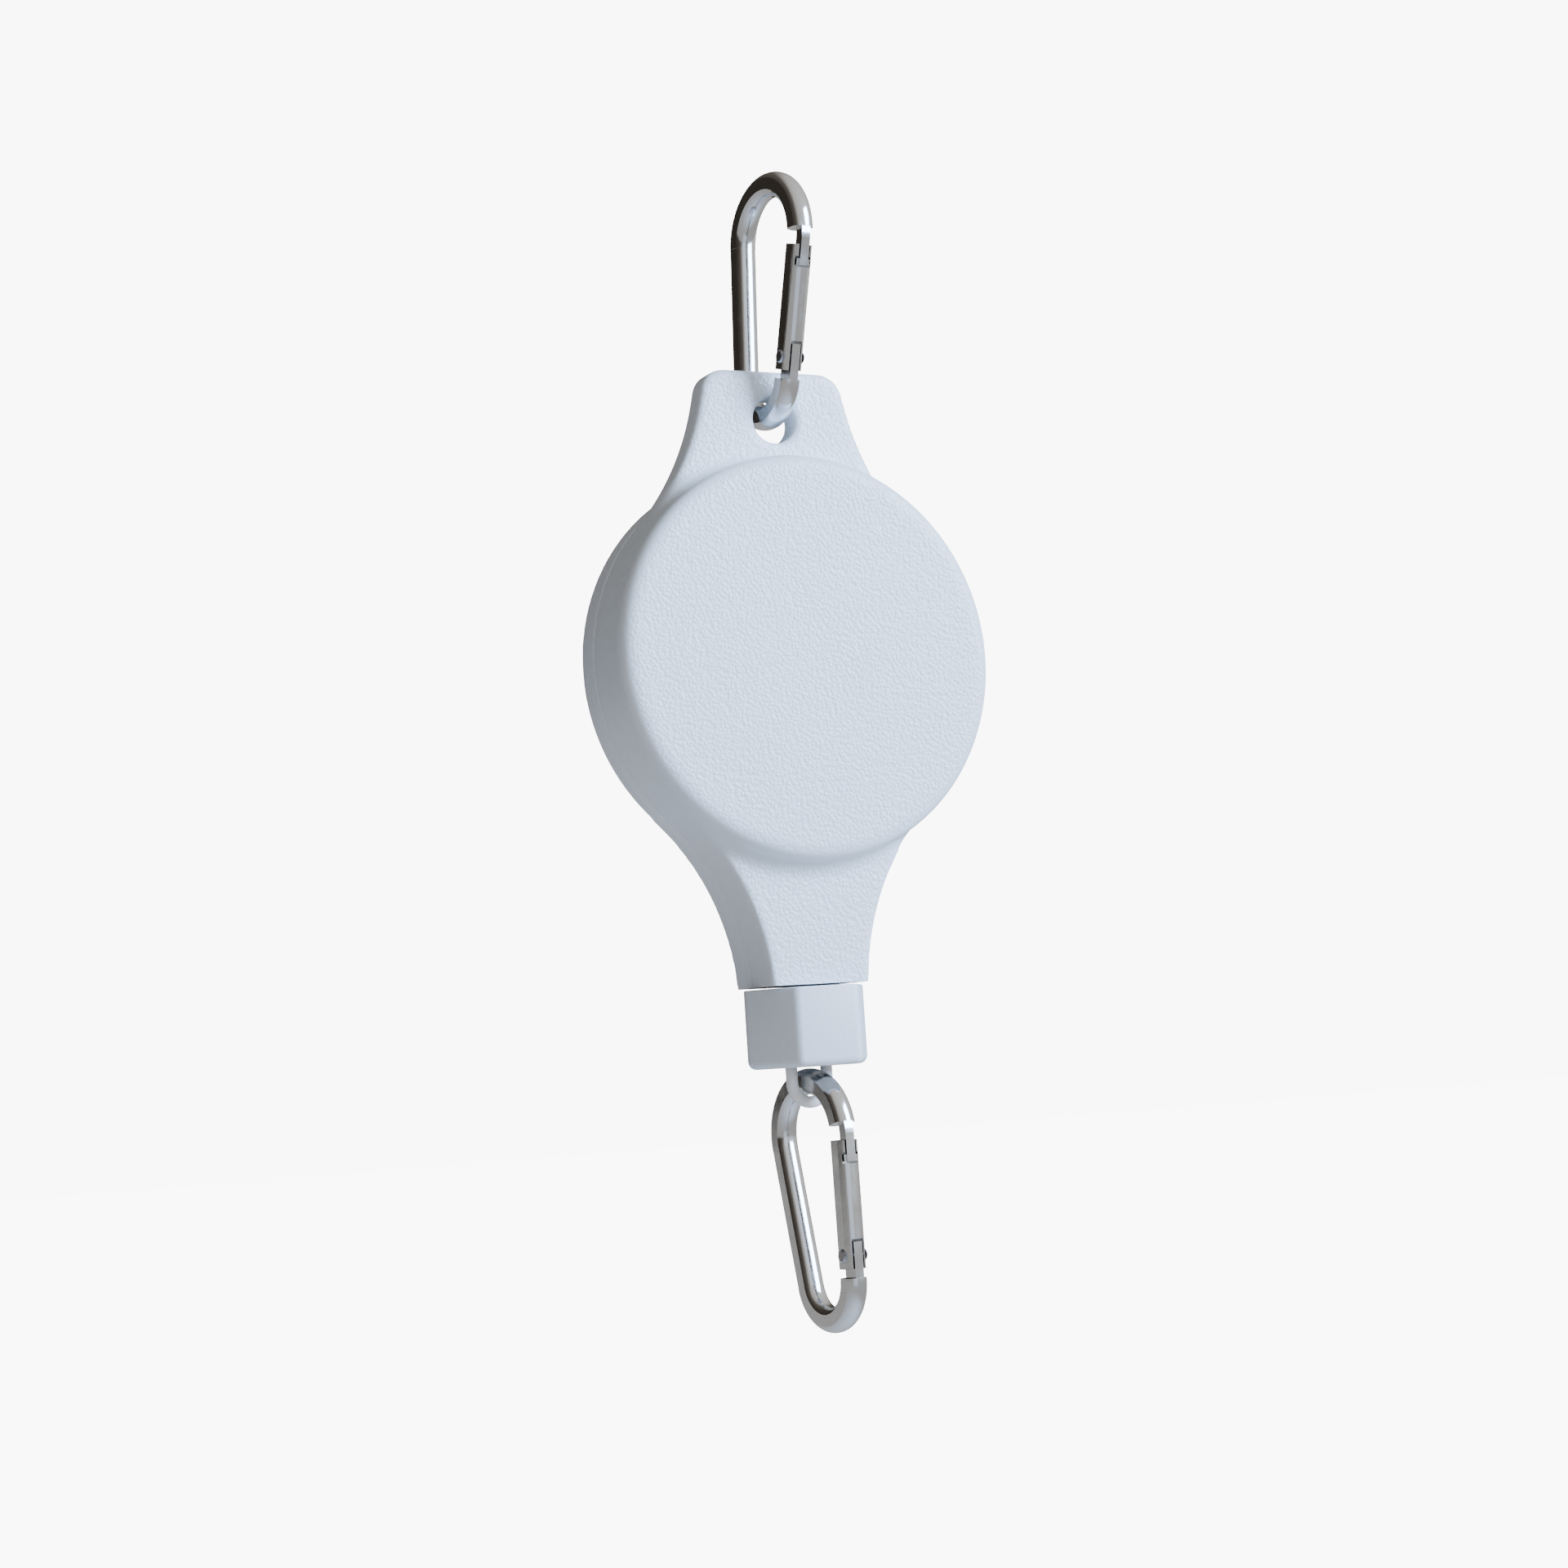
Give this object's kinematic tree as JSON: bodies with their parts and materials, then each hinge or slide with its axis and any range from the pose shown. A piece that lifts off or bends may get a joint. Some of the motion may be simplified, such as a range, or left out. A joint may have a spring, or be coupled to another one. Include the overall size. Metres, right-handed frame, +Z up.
{
  "type": "retractable hanging reel",
  "caption": "White round spring reel with a tab and neck, hung from a snap hook; its line pays out below through a hexagonal stop block to a second snap hook, and locks by a ratchet.",
  "frame": {"origin": "the hang point: inside the crown of the upper hook, where a rail or hook bears", "axes": "+Z up along the hanging line, -Y out of the drum's front face, +X to the right seen from the front"},
  "size_m": [0.075, 0.0306, 0.2148],
  "materials": {
    "white_abs": "fine spark-eroded grain",
    "polished_aluminium": "polished",
    "spring_steel": "bright",
    "nylon_line": "braided",
    "acetal": "smooth"
  },
  "bodies": {
    "upper_hook": {"upper_hook_body": "polished_aluminium", "upper_hook_rivet": "spring_steel"},
    "upper_gate": {"upper_hook_gate": "polished_aluminium", "upper_gate_spring": "spring_steel", "upper_gate_plunger": "spring_steel"},
    "housing": {"front_shell": "white_abs", "rear_cover": "white_abs", "housing_screws": "spring_steel", "line_guide_bush": "acetal", "spindle": "spring_steel", "retaining_clip": "spring_steel", "mainspring": "spring_steel", "pawl_pin": "spring_steel", "pawl_spring": "spring_steel", "line_lead": "nylon_line"},
    "spool": {"line_spool": "acetal", "ratchet_wheel": "acetal", "wound_line": "nylon_line"},
    "pawl": {"pawl": "acetal"},
    "line_end": {"line_run": "nylon_line", "line_knot": "nylon_line", "line_loop": "nylon_line", "stop_washer": "spring_steel"},
    "stop_block": {"stop_block": "white_abs"},
    "lower_hook": {"lower_hook_body": "polished_aluminium", "lower_hook_rivet": "spring_steel"},
    "lower_gate": {"lower_hook_gate": "polished_aluminium", "lower_gate_spring": "spring_steel", "lower_gate_plunger": "spring_steel"}
  },
  "joints": [
    {"name": "reel_swing", "type": "hinge", "parent": "upper_hook", "child": "housing", "pos_m": [-0.00044, 0.00457, -0.04054], "axis": [-0.0958, 0.9954, 0], "range_deg": [-75, 75]},
    {"name": "upper_gate_open", "type": "hinge", "parent": "upper_hook", "child": "upper_gate", "pos_m": [0.00038, -0.00392, -0.03117], "axis": [-0.9954, -0.0958, 0], "range_deg": [0, 43], "stiffness_Nm_per_rad": 0.02, "springref_deg": -28.65},
    {"name": "line_pull", "type": "slide", "parent": "housing", "child": "line_end", "axis": [0, 0, -1], "range_m": [0, 0.85], "stiffness_N_per_m": 6.7, "springref_m": -0.9, "deforming": ["line_run"]},
    {"name": "spool_spin", "type": "hinge", "parent": "housing", "child": "spool", "pos_m": [-0.00044, 0.00107, -0.0873], "axis": [0, 1, 0], "range_deg": [0, 1920]},
    {"name": "pawl_rock", "type": "hinge", "parent": "housing", "child": "pawl", "pos_m": [0.00906, 0.00607, -0.1241], "axis": [0, 1, 0], "range_deg": [0, 22], "stiffness_Nm_per_rad": 0.002, "springref_deg": -22.92},
    {"name": "block_turn", "type": "hinge", "parent": "line_end", "child": "stop_block", "pos_m": [-0.00044, 0.00567, -0.1543], "axis": [0, 0, 1], "continuous": true},
    {"name": "lower_hook_swing", "type": "hinge", "parent": "line_end", "child": "lower_hook", "pos_m": [-0.00044, 0.00567, -0.16445], "axis": [-0.0958, 0.9954, 0], "range_deg": [-75, 75]},
    {"name": "lower_gate_open", "type": "hinge", "parent": "lower_hook", "child": "lower_gate", "pos_m": [0.00058, -0.00491, -0.19583], "axis": [-0.9954, -0.0958, 0], "range_deg": [0, 43], "stiffness_Nm_per_rad": 0.02, "springref_deg": -28.65}
  ],
  "couplings": [
    {"joint": "spool_spin", "follows": "line_pull", "rad_per_m": 39.42}
  ]
}
